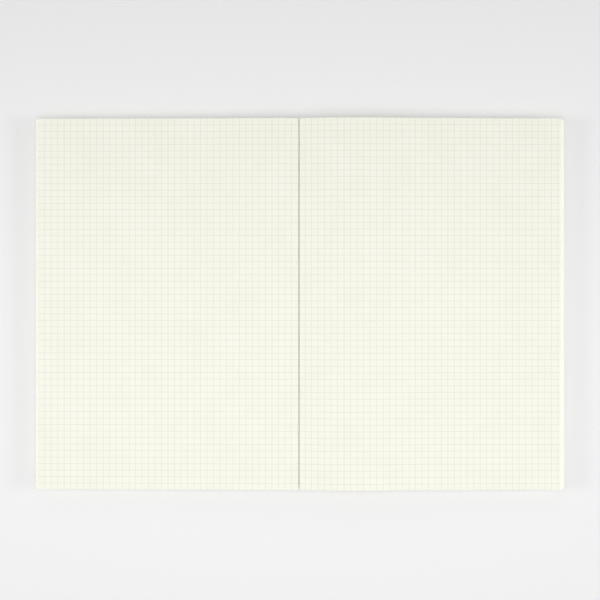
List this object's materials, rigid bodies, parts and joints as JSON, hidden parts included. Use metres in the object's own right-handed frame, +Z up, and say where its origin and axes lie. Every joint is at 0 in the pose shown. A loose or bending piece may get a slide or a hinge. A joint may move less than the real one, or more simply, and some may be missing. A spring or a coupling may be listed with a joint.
{
  "type": "notebook",
  "caption": "Open thread-sewn A5 notebook with cream squared pages, gauze-lined spine and soft card covers; the front half closes and the open leaves turn.",
  "frame": {"origin": "middle of the open book's footprint, on the table plane", "axes": "+Z up out of the open pages, +X towards the right-hand page's fore-edge, +Y towards the head of the pages"},
  "size_m": [0.3018, 0.21, 0.0085],
  "materials": {
    "page_paper": "matte uncoated",
    "endpaper": "matte uncoated",
    "cover_card": "matte uncoated",
    "spine_gauze": "woven",
    "sewing_thread": "spun"
  },
  "bodies": {
    "back_half": {"back_cover": "cover_card", "back_spine_lining": "spine_gauze", "back_endpaper": "endpaper", "section_06": "page_paper", "section_07": "page_paper", "section_08": "page_paper", "section_09": "page_paper", "section_10": "page_paper", "section_11": "page_paper", "back_thread_1": "sewing_thread", "back_thread_2": "sewing_thread", "back_thread_3": "sewing_thread", "back_thread_4": "sewing_thread", "back_thread_5": "sewing_thread"},
    "front_half": {"front_cover": "cover_card", "front_spine_lining": "spine_gauze", "front_endpaper": "endpaper", "section_01": "page_paper", "section_02": "page_paper", "section_03": "page_paper", "section_04": "page_paper", "section_05": "page_paper", "front_thread_1": "sewing_thread", "front_thread_2": "sewing_thread", "front_thread_3": "sewing_thread", "front_thread_4": "sewing_thread", "front_thread_5": "sewing_thread"},
    "left_leaf": {"left_open_leaf": "page_paper"},
    "right_leaf": {"right_open_leaf": "page_paper"}
  },
  "joints": [
    {"name": "front_half_closing", "type": "hinge", "parent": "back_half", "child": "front_half", "pos_m": [-0.00045, 0, 0.00763], "axis": [0, 1, 0], "range_deg": [0, 179.9]},
    {"name": "left_leaf_turning", "type": "hinge", "parent": "front_half", "child": "left_leaf", "pos_m": [-0.00045, 0, 0.00763], "axis": [0, -1, 0], "range_deg": [-178.6, 0]},
    {"name": "right_leaf_turning", "type": "hinge", "parent": "back_half", "child": "right_leaf", "pos_m": [-0.00045, 0, 0.00763], "axis": [0, 1, 0], "range_deg": [-178.6, 0]}
  ]
}
